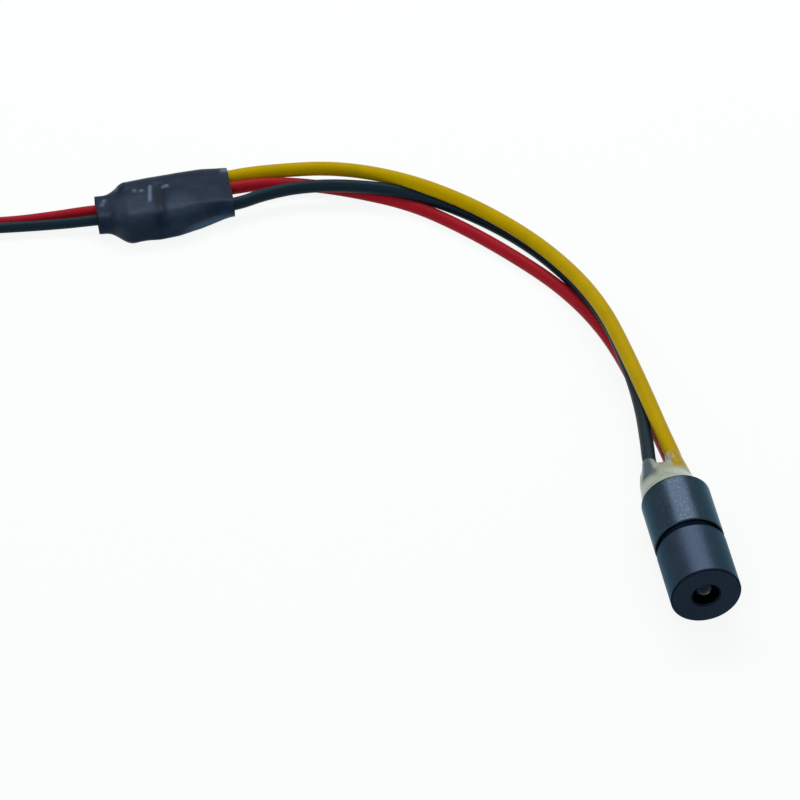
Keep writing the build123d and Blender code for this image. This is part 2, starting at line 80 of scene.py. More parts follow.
RED_POINTS = [
    (0.3, -0.7, 2.75), (0.3, 1.9, 2.75), (1.4, 5.9, 2.6), (1.05, 11.7, 2.1), (0.7, 18.7, 1.1),
    (0.3, 25.9, 0.8), (-1.45, 34.3, 0.8), (-4.75, 41.9, 0.8), (-9.6, 48.9, 0.8), (-14.6, 55.0, 0.8),
    (-19.8, 60.1, 0.8), (-26.4, 63.8, 0.8), (-32.4, 66.2, 0.82), (-37.4, 66.3, 1.55), (-41.4, 65.65, 1.91),
    (-44.9, 65.4, 1.91),
]
RED_SUPPLY_POINTS = [
    (-54.4, 64.6, 1.84), (-55.3, 64.62, 1.84), (-57.3, 64.7, 1.52), (-59.6, 64.95, 1.38),
    (-63.0, 65.2, 0.95), (-69.0, 65.3, 0.7), (-75.5, 65.95, 0.85),
]
BLACK_SUPPLY_POINTS = [
    (-54.4, 62.8, 1.84), (-55.3, 62.82, 1.84), (-57.3, 62.86, 1.52), (-59.6, 63.05, 1.36),
    (-63.0, 63.5, 1.0), (-69.0, 63.95, 0.95), (-75.5, 64.55, 0.98),
]

# Glue sections in millimetres: distance behind the rear face, left and right edge, bottom and top
GLUE_ROWS = [
    (-0.4, -3.7, 3.7, -3.7, 3.7),
    (0.0, -3.7, 3.7, -3.7, 3.7),
    (0.9, -3.7, 3.3, -3.6, 3.4),
    (1.7, -3.6, 2.95, -3.4, 2.95),
    (3.4, -3.4, 2.65, -2.9, 2.1),
    (4.6, -3.15, 2.35, -2.45, 1.45),
    (5.7, -2.8, 2.15, -2.3, 0.8),
]

# Folds and lumps of the sleeve in millimetres: x and y of both ends, half width, rise and softness of
# the edge, with how much paler the wall is painted there: partly stretch whitening, partly painted
# glints and painted light, and painted shade in the valley where the number is negative
SLEEVE_FOLDS = [
    (-54.2, 76.6, -53.3, 77.6, 0.8, 0.12, 1.2, 0.08),
    (-48.9, 76.4, -47.6, 77.0, 0.6, 0.08, 1.2, 0.09),
    (-50.4, 80.2, -51.0, 74.2, 0.15, -0.22, 0.55, -0.1),
    (-51.54, 80.5, -51.9, 77.7, 0.05, 0.16, 0.17, 0.6),
    (-53.56, 80.15, -53.5, 80.15, 0.06, 0.1, 0.18, 0.5),
    (-52.71, 80.0, -52.65, 80.0, 0.06, 0.1, 0.18, 0.5),
    (-49.95, 80.3, -49.5, 80.35, 0.06, 0.1, 0.2, 0.6),
    (-57.7, 79.3, -57.3, 80.2, 0.05, 0.08, 0.17, 0.45),
    (-55.45, 81.0, -55.4, 81.05, 0.05, 0.05, 0.17, 0.4),
    (-55.0, 81.3, -54.7, 81.4, 0.2, 0.2, 0.4, 0.0),
    (-42.3, 83.0, -41.8, 83.1, 0.06, 0.08, 0.22, 0.6),
]


def millimetres(*numbers):
    """Vector in metres from numbers in millimetres."""
    return Vector(numbers) * MM


def placed(points):
    """Lead points in metres, in the module's frame."""
    return [Vector((x * MM, REAR_FACE + behind * MM, TABLE + height * MM)) for x, behind, height in points]


class BarrelSettings(PropertyGroup):
    """Sizes and colours of the two barrel halves."""

    aperture: FloatProperty(
        name="Aperture", description="Diameter of the hole that the beam leaves by",
        default=3.0 * MM, unit="LENGTH",
    )
    front_wall: FloatProperty(
        name="Front wall", description="Thickness of the wall round the aperture",
        default=1.2 * MM, unit="LENGTH",
    )
    rim_chamfer: FloatProperty(
        name="Rim chamfer", description="Chamfer at both ends of the barrel",
        default=0.1 * MM, unit="LENGTH",
    )
    groove_chamfer: FloatProperty(
        name="Groove chamfer", description="Chamfer at both sides of the groove",
        default=0.1 * MM, unit="LENGTH",
    )
    groove: FloatProperty(
        name="Groove", description="Gap that the focus setting leaves between the two halves",
        default=0.9 * MM, unit="LENGTH",
    )
    thread: FloatProperty(
        name="Thread", description="Diameter of the thread between the two halves",
        default=6.5 * MM, unit="LENGTH",
    )
    thread_pitch: FloatProperty(
        name="Thread pitch", description="Distance from one thread crest to the next",
        default=0.35 * MM, unit="LENGTH",
    )
    front_colour: FloatVectorProperty(
        name="Front colour", description="Anodised front half",
        default=(0.021, 0.033, 0.052), subtype="COLOR", min=0, max=1,
    )
    face_colour: FloatVectorProperty(
        name="Face colour", description="Flat wall round the aperture",
        default=(0.0164, 0.0273, 0.0445), subtype="COLOR", min=0, max=1,
    )
    rear_colour: FloatVectorProperty(
        name="Rear colour", description="Anodised rear half",
        default=(0.021, 0.034, 0.049), subtype="COLOR", min=0, max=1,
    )


class LeadSettings(PropertyGroup):
    """Sizes and colours of the leads."""

    lead: FloatProperty(
        name="Lead", description="Diameter of the black and the red lead over their insulation",
        default=1.6 * MM, unit="LENGTH",
    )
    yellow_lead: FloatProperty(
        name="Yellow lead", description="Diameter of the yellow lead over its insulation",
        default=1.75 * MM, unit="LENGTH",
    )
    supply: FloatProperty(
        name="Supply lead", description="Diameter of the supply pair over its insulation",
        default=1.3 * MM, unit="LENGTH",
    )
    yellow: FloatVectorProperty(
        name="Yellow", description="Yellow insulation",
        default=(0.4, 0.285, 0.0), subtype="COLOR", min=0, max=1,
    )
    black: FloatVectorProperty(
        name="Black", description="Black insulation",
        default=(0.0045, 0.011, 0.017), subtype="COLOR", min=0, max=1,
    )
    red: FloatVectorProperty(
        name="Red", description="Red insulation",
        default=(0.29, 0.009, 0.017), subtype="COLOR", min=0, max=1,
    )


class GlueSettings(PropertyGroup):
    """Colours and fineness of the potting glue."""

    colour: FloatVectorProperty(
        name="Glue", description="Set glue",
        default=(0.285, 0.345, 0.285), subtype="COLOR", min=0, max=1,
    )
    rim_colour: FloatVectorProperty(
        name="At the rim", description="Thin glue at the barrel's rim",
        default=(0.58, 0.62, 0.57), subtype="COLOR", min=0, max=1,
    )
    # Partly the black lead seen through the glue, partly painted shade on the glue's left side
    black_and_shade_colour: FloatVectorProperty(
        name="Over black", description="Glue that the black lead shows through",
        default=(0.036, 0.062, 0.09), subtype="COLOR", min=0, max=1,
    )
    fineness: FloatProperty(
        name="Fineness", description="Size of the cells that the glue's surface is made of",
        default=0.14 * MM, unit="LENGTH",
    )


class SleeveSettings(PropertyGroup):
    """Wall and colour of the heat-shrink sleeve."""

    wall: FloatProperty(
        name="Wall", description="Thickness of the shrunk wall",
        default=0.3 * MM, unit="LENGTH",
    )
    colour: FloatVectorProperty(
        name="Sleeve", description="Shrunk tubing",
        default=(0.0075, 0.015, 0.031), subtype="COLOR", min=0, max=1,
    )


class CoilSettings(PropertyGroup):
    """Place and size of the wound supply pair."""

    centre: FloatVectorProperty(
        name="Centre", description="Middle of the coil",
        default=(-82.0 * MM, 73.735 * MM, TABLE), subtype="TRANSLATION", unit="LENGTH",
    )
    radius: FloatProperty(
        name="Radius", description="From the middle of the coil to the middle of its turns",
        default=7.1 * MM, unit="LENGTH",
    )
    pitch: FloatProperty(
        name="Pitch", description="Distance from one lead of the pair to the other",
        default=1.35 * MM, unit="LENGTH",
    )
    tie: FloatProperty(
        name="Tie", description="Thickness of the band that holds the coil",
        default=0.3 * MM, unit="LENGTH",
    )
    tie_width: FloatProperty(
        name="Tie width", description="Width of the band that holds the coil",
        default=2.6 * MM, unit="LENGTH",
    )
    points_per_turn: IntProperty(
        name="Points per turn", description="Route points in one turn of the coil", default=18, min=12,
    )


class StageSettings(PropertyGroup):
    """Light, floor and camera."""

    key_power: FloatProperty(
        name="Key light", description="Power of the soft light behind the module",
        default=0.62, unit="POWER",
    )
    fill_power: FloatProperty(
        name="Fill light", description="Power of the soft light beside the camera",
        default=0.8, unit="POWER",
    )
    sky: FloatProperty(
        name="Sky", description="Strength of the light from all round", default=0.5,
    )
    floor_colour: FloatVectorProperty(
        name="Floor", description="Pale floor and background",
        default=(0.968, 0.991, 0.984), subtype="COLOR", min=0, max=1,
    )
    shadow_share: FloatProperty(
        name="Shadow", description="Share of the floor's look that takes shadow", default=0.1,
        subtype="FACTOR", min=0, max=1,
    )
    focal_length: FloatProperty(
        name="Focal length", description="Focal length on a 36 mm sensor, in millimetres", default=183.58,
    )


class ModuleSettings(PropertyGroup):
    """All settings of the module."""

    barrel: PointerProperty(type=BarrelSettings)
    leads: PointerProperty(type=LeadSettings)
    glue: PointerProperty(type=GlueSettings)
    sleeve: PointerProperty(type=SleeveSettings)
    coil: PointerProperty(type=CoilSettings)
    stage: PointerProperty(type=StageSettings)


def settings():
    """The settings on the open scene."""
    return bpy.context.scene.laser_module


class Value:
    """A socket that adds Math nodes when it stands in an expression."""

    def __init__(self, nodes, socket):
        self.nodes = nodes
        self.socket = socket

    def math(self, operation, first, second=0.0):
        return self.nodes.node("ShaderNodeMath", {"operation": operation}, [first, second])

    def __add__(self, other):
        return self.math("ADD", self, other)

    def __radd__(self, other):
        return self.math("ADD", other, self)

    def __sub__(self, other):
        return self.math("SUBTRACT", self, other)

    def __rsub__(self, other):
        return self.math("SUBTRACT", other, self)

    def __mul__(self, other):
        return self.math("MULTIPLY", self, other)

    def __rmul__(self, other):
        return self.math("MULTIPLY", other, self)

    def __pow__(self, other):
        return self.math("POWER", self, other)

    def __abs__(self):
        return self.math("ABSOLUTE", self)

    def larger(self, other):
        return self.math("MAXIMUM", self, other)

    def smaller(self, other):
        return self.math("MINIMUM", self, other)

    def fade(self, low, high):
        """0 at low, 1 at high, and smooth between; low may be the larger."""
        return self.nodes.node(
            "ShaderNodeMapRange", {"interpolation_type": "SMOOTHSTEP"}, [self, low, high, 0.0, 1.0]
        )


class Nodes:
    """A node tree in the making, with one method that adds any node."""

    def __init__(self, tree):
        self.tree = tree

    def feed(self, socket, given):
        """Link a value to a socket, or set the socket to a plain number or colour."""
        if isinstance(given, Value):
            self.tree.links.new(given.socket, socket)
        elif socket.type == "RGBA" and len(given) == 3:
            socket.default_value = (*given, 1.0)
        else:
            socket.default_value = given

    def node(self, kind, setup=None, inputs=(), output=0):
        """Add a node, set it up, feed its sockets and give one of its outputs."""
        made = self.tree.nodes.new(kind)
        for name, choice in (setup or {}).items():
            setattr(made, name, choice)
        pairs = inputs.items() if isinstance(inputs, dict) else enumerate(inputs)
        for key, given in pairs:
            self.feed(made.inputs[key], given)
        return Value(self, made.outputs[output])

    def seen_directly(self):
        """1 for the rays that should meet the plain pale background, and 0 for the rest."""
        camera = self.node("ShaderNodeLightPath", output="Is Camera Ray")
        glossy = self.node("ShaderNodeLightPath", output="Is Glossy Ray")
        through = self.node("ShaderNodeLightPath", output="Is Transmission Ray")
        return (camera + glossy + through).smaller(1.0)


class Finish(Nodes):
    """A material in the making, with its main shader and its patterns."""

    def __init__(self, name):
        self.material = bpy.data.materials.new(name)
        self.material.use_nodes = True
        super().__init__(self.material.node_tree)
        self.shader = self.tree.nodes["Principled BSDF"]
        self.place = self.node("ShaderNodeTexCoord", output="Object")

    def axes(self):
        """The three Object coordinates as values."""
        return [self.node("ShaderNodeSeparateXYZ", inputs=[self.place], output=axis) for axis in range(3)]

    def noise(self, grain, detail=2.0, stretch=(1.0, 1.0, 1.0)):
        """Noise from 0 to 1 whose lumps are about one grain across, in metres."""
        stretched = self.node(
            "ShaderNodeMapping", inputs={"Vector": self.place, "Scale": [1 / (grain * s) for s in stretch]}
        )
        return self.node(
            "ShaderNodeTexNoise", inputs={"Vector": stretched, "Scale": 1.0, "Detail": detail}
        )

    def mix(self, share, first, second):
        """Blend from the first colour to the second."""
        return self.node("ShaderNodeMix", {"data_type": "RGBA"}, {0: share, 6: first, 7: second}, output=2)

    def bump(self, height, depth):
        """Surface relief of a depth in metres, fed to the main shader."""
        relief = self.node("ShaderNodeBump", inputs={"Strength": 1.0, "Distance": depth, "Height": height})
        self.set({"Normal": relief})

    def set(self, inputs):
        """Feed the main shader's sockets."""
        for name, given in inputs.items():
            self.feed(self.shader.inputs[name], given)


def scaled(colour, factor):
    """A colour made lighter or darker."""
    return [channel * factor for channel in colour]


def anodised_finish(name, colour, edge, rim, roughness, glitter):
    """Dark anodised metal: turned and finely blasted, darker on its face, with painted shade that makes its
    edges nearly black and painted light that makes its thread and bores paler.
    """
    barrel = settings().barrel
    face_roughness = 0.66
    finish = Finish(name)
    x, y, z = finish.axes()
    radius = (x * x + z * z) ** 0.5
    below_side = BARREL_RADIUS - radius
    behind_face = y - FRONT_FACE
    # Painted shade: the rim mask and the aperture mask darken the chamfers at the rim and round the aperture
    at_rim = abs(y - rim).fade(0.28 * MM, 0.2 * MM) * below_side.fade(0.2 * MM, 0.1 * MM)
    aperture_shade = (radius - barrel.aperture / 2).fade(0.26 * MM, 0.18 * MM)
    # Painted light: the groove mask makes the thread, the bores and the groove walls paler
    groove_light = below_side.fade(0.3 * MM, 0.6 * MM) * behind_face.fade(3.0 * MM, 4.0 * MM)
    on_face = behind_face.fade(0.06 * MM, 0.02 * MM)
    clouding = finish.noise(1.6 * MM, detail=3.0)
    grain = finish.noise(0.13 * MM)
    turning = finish.noise(0.09 * MM, detail=1.0, stretch=(40.0, 1.0, 40.0))
    sparks = grain.fade(0.56, 0.72)
    pale = scaled(colour, 2.6)
    tone = finish.mix(clouding, scaled(colour, 0.82), scaled(colour, 1.18))
    tone = finish.mix(sparks * glitter, tone, pale)
    tone = finish.mix(groove_light, tone, pale)
    faced = finish.mix(on_face, tone, barrel.face_colour)
    # Painted shade: the edge colour darkens both chamfers
    edge_shade = aperture_shade.larger(at_rim)
    matt = on_face * (face_roughness - roughness) + roughness
    finish.set({
        "Base Color": finish.mix(edge_shade, faced, edge),
        "Metallic": 1.0,
        "Specular Tint": (0.55, 0.7, 0.8),
        "Roughness": matt + (clouding - 0.5) * 0.1 + (turning - 0.5) * 0.08 - sparks * 0.06 * glitter,
    })
    finish.bump(grain + turning * 0.6, 0.012 * MM)
    return finish.material


def insulation_finish(name, colour, pale, gloss):
    """Soft extruded insulation: slightly cloudy, with a satin gloss and faint dents."""
    finish = Finish(name)
    clouding = finish.noise(2.4 * MM, detail=3.0)
    dust = finish.noise(0.25 * MM)
    tone = finish.mix(clouding, scaled(colour, 0.86), scaled(colour, 1.12))
    finish.set({
        "Base Color": finish.mix(dust.fade(0.62, 0.8) * 0.15, tone, pale),
        "Roughness": 0.36 + clouding * 0.12 + dust * 0.06,
        "Specular IOR Level": gloss,
        "Specular Tint": scaled(pale, 1 / max(pale)),
    })
    finish.bump(clouding + dust * 0.15, 0.02 * MM)
    return finish.material


def glue_finish():
    """Milky set glue: greenish, whiter at the barrel's rim and tinted by the leads that it covers; painted
    shade darkens its left side.
    """
    glue = settings().glue
    black_and_shade_x = -2.5 * MM
    yellow_x = 1.3 * MM
    yellow_slant = 0.04
    rim_share = 0.4
    finish = Finish("milky_glue")
    x, y, z = finish.axes()
    clouding = finish.noise(1.3 * MM, detail=3.0)
    bubbles = finish.noise(0.3 * MM)
    behind = y - REAR_FACE
    upper = z.fade(-2.5 * MM, -1.0 * MM)
    beside_black = abs(x - black_and_shade_x)
    beside_yellow = abs(x - yellow_x - behind * yellow_slant)
    # Darker over the black lead, which shows through, and to its left, where the darkening is painted shade
    black_and_shade = beside_black.fade(1.25 * MM, 0.45 * MM) * behind.fade(1.6 * MM, 3.6 * MM)
    over_yellow = beside_yellow.fade(1.15 * MM, 0.7 * MM) * behind.fade(3.2 * MM, 4.4 * MM)
    at_rim = behind.fade(0.6 * MM, 0.1 * MM)
    tone = finish.mix(clouding, scaled(glue.colour, 0.86), scaled(glue.colour, 1.14))
    tone = finish.mix(black_and_shade * upper, tone, glue.black_and_shade_colour)
    tone = finish.mix(over_yellow * upper, tone, scaled(settings().leads.yellow, 0.85))
    finish.set({
        "Base Color": finish.mix(at_rim * rim_share, tone, glue.rim_colour),
        "Roughness": 0.07 + bubbles * 0.1,
        "Subsurface Weight": 0.2,
        "Subsurface Radius": (1.0, 1.0, 0.85),
        "Subsurface Scale": 0.2 * MM,
        "IOR": 1.48,
        "Specular IOR Level": 0.2,
    })
    finish.bump(clouding + bubbles * 0.2, 0.03 * MM)
    return finish.material


def shrunk_finish(colour):
    """Shrunk tubing: satin, finely puckered and a little greyer where it is stretched, with painted glints,
    painted light and painted shade on its folds, and a painted reflection of the floor low on its front.
    """
    finish = Finish("heat_shrink")
    x, _, z = finish.axes()
    clouding = finish.noise(2.2 * MM, detail=3.0)
    pucker = finish.noise(0.5 * MM, detail=3.0, stretch=(1.6, 1.0, 1.0))
    # The stretch attribute holds the folds' paleness: stretch whitening with painted glints, light and shade
    stretch = finish.node("ShaderNodeAttribute", {"attribute_name": "stretch"}, output="Fac") * 2.0 - 1.0
    # Painted reflection of the white floor, lighter low on the front of the sleeve's right end
    floor_reflection = x.fade(-49.5 * MM, -45.5 * MM) * z.fade(-2.0 * MM, -3.0 * MM)
    tone = finish.mix(clouding.fade(0.35, 0.7), scaled(colour, 0.8), scaled(colour, 1.3))
    # Painted shade: darker in the valley between the lumps
    tone = finish.mix(stretch.fade(0.0, -0.12), tone, scaled(colour, 0.5))
    # Painted glints and stretch whitening: paler on the ridges and lumps
    stretched_glint_colour = (0.15, 0.22, 0.32)
    floor_reflection_colour = (0.05, 0.1, 0.16)
    uneven = stretch.larger(0.0) * (0.35 + pucker * 1.3)
    tone = finish.mix(uneven, tone, stretched_glint_colour)
    finish.set({
        "Base Color": finish.mix(floor_reflection * 0.75, tone, floor_reflection_colour),
        "Roughness": 0.26 + clouding * 0.12 + pucker * 0.06,
        "Specular IOR Level": 0.09,
        "Specular Tint": (0.45, 0.7, 1.0),
    })
    finish.bump(clouding * 0.8 + pucker * 0.5, 0.04 * MM)
    return finish.material


def metal_finish(name, colour, roughness, grain):
    """Bare or plated metal with a fine grain and slight tarnish."""
    finish = Finish(name)
    tarnish = finish.noise(8 * grain, detail=3.0)
    fine = finish.noise(grain)
    finish.set({
        "Base Color": finish.mix(tarnish, scaled(colour, 0.75), colour),
        "Metallic": 1.0,
        "Roughness": roughness + (tarnish - 0.5) * 0.2 + fine * 0.08,
    })
    finish.bump(fine, 0.1 * grain)
    return finish.material


def moulded_finish(name, colour, roughness, grain):
    """Moulded plastic or fired ceramic with a fine even grain."""
    finish = Finish(name)
    clouding = finish.noise(10 * grain)
    fine = finish.noise(grain)
    finish.set({
        "Base Color": finish.mix(clouding, scaled(colour, 0.8), scaled(colour, 1.15)),
        "Roughness": roughness + (fine - 0.5) * 0.2,
    })
    finish.bump(fine, 0.15 * grain)
    return finish.material


def glass_finish(name, colour, bloom, roughness, glint):
    """Clear glass whose coating turns its tint from the middle outwards, with or without a bar of glint."""
    finish = Finish(name)
    x, _, z = finish.axes()
    outwards = ((x * x + z * z) ** 0.5).fade(0.2 * MM, 2.8 * MM)
    specks = finish.noise(0.2 * MM)
    finish.set({
        "Base Color": finish.mix(outwards, colour, bloom),
        "Roughness": roughness + specks * 0.03,
        "Transmission Weight": 1.0,
        "IOR": 1.52,
    })
    if glint:
        bar_x = 0.1 * MM
        bar_z = -0.3 * MM
        run = 0.86
        climb = 0.51
        along = (x - bar_x) * run + (z - bar_z) * climb
        across = (z - bar_z) * run - (x - bar_x) * climb
        finish.set({
            "Specular IOR Level": 0.03,
            "Specular Tint": (0.15, 0.28, 0.4),
            "Coat Weight": abs(across).fade(0.16 * MM, 0.08 * MM) * abs(along).fade(0.6 * MM, 0.5 * MM),
            "Coat Roughness": 0.05,
        })
    return finish.material


def laminate_finish():
    """Board laminate under green solder mask, with paler tracks."""
    finish = Finish("board_laminate")
    mask_colour = (0.012, 0.1, 0.045)
    track_colour = (0.03, 0.19, 0.08)
    waves = finish.node(
        "ShaderNodeTexWave", {"wave_type": "BANDS", "bands_direction": "DIAGONAL"},
        {"Vector": finish.place, "Scale": 0.25 / MM, "Distortion": 3.0, "Detail": 0.0},
    )
    tracks = waves.fade(0.7, 0.78)
    weave = finish.noise(0.15 * MM, detail=1.0)
    finish.set({
        "Base Color": finish.mix(tracks, mask_colour, track_colour),
        "Roughness": 0.3 + weave * 0.15,
    })
    finish.bump(tracks + weave * 0.1, 0.03 * MM)
    return finish.material


def dress(material, *nodes):
    """Give a material to solids that stay as they are."""
    for node in nodes:
        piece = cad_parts[node]
        piece.data.materials.clear()
        piece.data.materials.append(material)


def add_object(name, data):
    """Put a new object into the scene."""
    made = bpy.data.objects.new(name, data)
    bpy.context.scene.collection.objects.link(made)
    return made


def add_shape(name, shape, material):
    """Put a finished shape into the scene as a mesh with one material."""
    mesh = bpy.data.meshes.new(name)
    shape.to_mesh(mesh)
    shape.free()
    mesh.materials.append(material)
    return add_object(name, mesh)


def make_piece(name, shape, material, slot, *nodes):
    """Turn a shape into a piece that rides on the module and stands for some solids."""
    bmesh.ops.recalc_face_normals(shape, faces=shape.faces)
    piece = add_shape(name, shape, material)
    piece.data.shade_smooth()
    piece.data.set_sharp_from_angle(angle=math.radians(35))
    return adopt(piece, slot, *nodes)


def adopt(piece, slot, *nodes):
    """Let a piece ride on the module and stand for some solids."""
    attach(piece, BODY)
    if nodes:
        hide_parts(*nodes)
    return piece


def settle(piece):
    """Replace a piece's mesh by what its modifiers make of it."""
    settled = bpy.data.meshes.new_from_object(piece.evaluated_get(bpy.context.evaluated_depsgraph_get()))
    piece.modifiers.clear()
    piece.data = settled
    settled.shade_smooth()


def turn(profile):
    """Spin a closed profile of (radius, y) points round the beam's axis."""
    steps = 160
    shape = bmesh.new()
    corners = [shape.verts.new((radius, y, 0)) for radius, y in profile]
    edges = [shape.edges.new(pair) for pair in zip(corners, corners[1:] + corners[:1])]
    bmesh.ops.spin(
        shape, geom=corners + edges, cent=(0, 0, 0), axis=(0, 1, 0), angle=FULL_TURN, steps=steps,
        use_merge=True,
    )
    bmesh.ops.remove_doubles(shape, verts=shape.verts, dist=0.0005 * MM)
    return shape


def soften_edges(piece, width):
    """Round a piece's sharp edges a little."""
    bevel = piece.modifiers.new("edges", "BEVEL")
    bevel.width = width
    bevel.segments = 2
    bevel.limit_method = "ANGLE"
    bevel.angle_limit = math.radians(25)
    bevel.harden_normals = True


def lay_cord(name, points, diameter, material):
    """A round lead along one smooth spline."""
    curve = bpy.data.curves.new(name, "CURVE")
    curve.dimensions = "3D"
    curve.resolution_u = 12
    curve.bevel_depth = diameter / 2
    curve.bevel_resolution = 8
    curve.use_fill_caps = True
    spline = curve.splines.new("NURBS")
    spline.points.add(len(points) - 1)
    for point, place in zip(spline.points, points):
        point.co = (*place, 1)
    spline.order_u = 3
    spline.use_endpoint_u = True
    curve.materials.append(material)
    return add_object(name, curve)


class LASERMODULE_OT_barrel(Operator):
    """Turn the two barrel halves"""

    bl_idname = "laser_module.barrel"
    bl_label = "Barrel"

    lens_bore = 3.05 * MM
    light_bore = 2.3 * MM
    diode_seat = 2.82 * MM
    seat_wall = 1.25 * MM
    aperture_chamfer = 0.15 * MM
    thread_reach = 3.2 * MM
    thread_clearance = 0.05 * MM
    thread_depth = 0.18 * MM
    spigot_chamfer = 0.25 * MM
    first_crest = 0.3 * MM
    front_rounding = 0.04 * MM
    rear_rounding = 0.03 * MM

    def turn_front(self):
        """The front half, from the aperture's edge round its outside and back through its bores."""
        barrel = settings().barrel
        aperture = barrel.aperture / 2
        thread_bore = barrel.thread / 2 + self.thread_clearance
        shape = turn([
            (aperture + self.aperture_chamfer, FRONT_FACE),
            (BARREL_RADIUS - barrel.rim_chamfer, FRONT_FACE),
            (BARREL_RADIUS, FRONT_FACE + barrel.rim_chamfer),
            (BARREL_RADIUS, GROOVE_START - barrel.groove_chamfer),
            (BARREL_RADIUS - barrel.groove_chamfer, GROOVE_START),
            (thread_bore, GROOVE_START),
            (thread_bore, GROOVE_START - self.thread_reach),
            (self.lens_bore, GROOVE_START - self.thread_reach),
            (self.lens_bore, FRONT_FACE + barrel.front_wall),
            (aperture, FRONT_FACE + barrel.front_wall),
            (aperture, FRONT_FACE + self.aperture_chamfer),
        ])
        # The edge colour is painted shade for the chamfers at the rim and round the aperture
        finish = anodised_finish(
            "front_anodised", barrel.front_colour, edge=scaled(barrel.face_colour, 0.33), rim=FRONT_FACE,
            roughness=0.4, glitter=0.3,
        )
        piece = make_piece("turned_front_barrel", shape, finish, "front_anodised", "front_barrel")
        soften_edges(piece, self.front_rounding)

    def turn_rear(self):
        """The rear half, along its threaded spigot, round its outside and back through its bores."""
        barrel = settings().barrel
        crest = barrel.thread / 2
        root = crest - self.thread_depth
        groove_end = GROOVE_START + barrel.groove
        thread = []
        station = SPIGOT_FRONT + self.first_crest
        while station < groove_end - barrel.thread_pitch:
            thread.append((root, station))
            thread.append((crest, station + 0.4 * barrel.thread_pitch))
            thread.append((crest, station + 0.6 * barrel.thread_pitch))
            station += barrel.thread_pitch
        shape = turn([
            (self.light_bore, SPIGOT_FRONT),
            (crest - self.spigot_chamfer, SPIGOT_FRONT),
            *thread,
            (root, groove_end),
            (BARREL_RADIUS - barrel.groove_chamfer, groove_end),
            (BARREL_RADIUS, groove_end + barrel.groove_chamfer),
            (BARREL_RADIUS, REAR_FACE - barrel.rim_chamfer),
            (BARREL_RADIUS - barrel.rim_chamfer, REAR_FACE),
            (self.diode_seat, REAR_FACE),
            (self.diode_seat, groove_end + self.seat_wall),
            (self.light_bore, groove_end + self.seat_wall),
        ])
        # The edge colour is painted shade for the chamfer at the rear rim
        finish = anodised_finish(
            "rear_anodised", barrel.rear_colour, edge=scaled(barrel.rear_colour, 0.14), rim=REAR_FACE,
            roughness=0.3, glitter=0.7,
        )
        piece = make_piece("turned_rear_barrel", shape, finish, "rear_anodised", "rear_barrel")
        soften_edges(piece, self.rear_rounding)

    def execute(self, context):
        self.turn_front()
        self.turn_rear()
        return {"FINISHED"}


class LASERMODULE_OT_optics(Operator):
    """Dress the lens, the spring and the laser diode"""

    bl_idname = "laser_module.optics"
    bl_label = "Lens and diode"

    def execute(self, context):
        # Metal: finish, colour, roughness, grain, solids
        metals = (
            ("gold_plate", (0.83, 0.58, 0.22), 0.28, 0.05 * MM,
             "diode_stem", "diode_pins", "heat_sink_post"),
            ("cap_nickel", (0.62, 0.6, 0.56), 0.3, 0.06 * MM, "diode_cap"),
            ("spring_steel", (0.5, 0.5, 0.5), 0.3, 0.05 * MM, "focus_spring"),
            ("ring_brass", (0.62, 0.44, 0.18), 0.35, 0.06 * MM, "diode_retaining_ring"),
            ("solder", (0.6, 0.6, 0.6), 0.25, 0.1 * MM, "pin_solder_joints", "board_solder_joints"),
        )
        for name, colour, roughness, grain, *nodes in metals:
            dress(metal_finish(name, colour, roughness, grain), *nodes)
        dress(moulded_finish("submount_ceramic", (0.7, 0.68, 0.63), 0.5, 0.05 * MM), "chip_submount")
        chip = moulded_finish("bare_chip", (0.08, 0.08, 0.11), 0.2, 0.03 * MM)
        dress(chip, "laser_chip", "monitor_photodiode")
        # Glass: finish, colour in the middle, colour further out, roughness, bar of glint, solid
        glasses = (
            # The lens's dark tint is painted shade that darkens the view into the barrel
            ("lens_glass", (0.1, 0.13, 0.17), (0.06, 0.09, 0.14), 0.02, True, "collimating_lens"),
            ("window_glass", (0.9, 0.93, 0.95), (0.8, 0.86, 0.9), 0.01, False, "diode_window"),
            ("seal_glass", (0.1, 0.2, 0.14), (0.08, 0.15, 0.12), 0.1, False, "pin_glass_seals"),
        )
        for name, colour, bloom, roughness, glint, node in glasses:
            dress(glass_finish(name, colour, bloom, roughness, glint), node)
        return {"FINISHED"}


class LASERMODULE_OT_leads(Operator):
    """Lay the three leads from the diode to the driver"""

    bl_idname = "laser_module.leads"
    bl_label = "Leads"

    def execute(self, context):
        leads = settings().leads
        # Colour's name, route, diameter, colour, sheen, gloss, length in metres
        rows = (
            ("yellow", YELLOW_POINTS, leads.yellow_lead, leads.yellow, (0.5, 0.42, 0.03), 0.07, 0.0955),
            ("black", BLACK_POINTS, leads.lead, leads.black, (0.017, 0.034, 0.05), 0.13, 0.0943),
            ("red", RED_POINTS, leads.lead, leads.red, (0.42, 0.09, 0.14), 0.11, 0.0932),
        )
        for name, points, diameter, colour, pale, gloss, length in rows:
            route = placed(points)
            material = insulation_finish(f"{name}_insulation", colour, pale, gloss)
            cord = lay_cord(f"{name}_lead_wire", route, diameter, material)
            adopt(cord, f"{name}_insulation", f"{name}_lead")
        return {"FINISHED"}


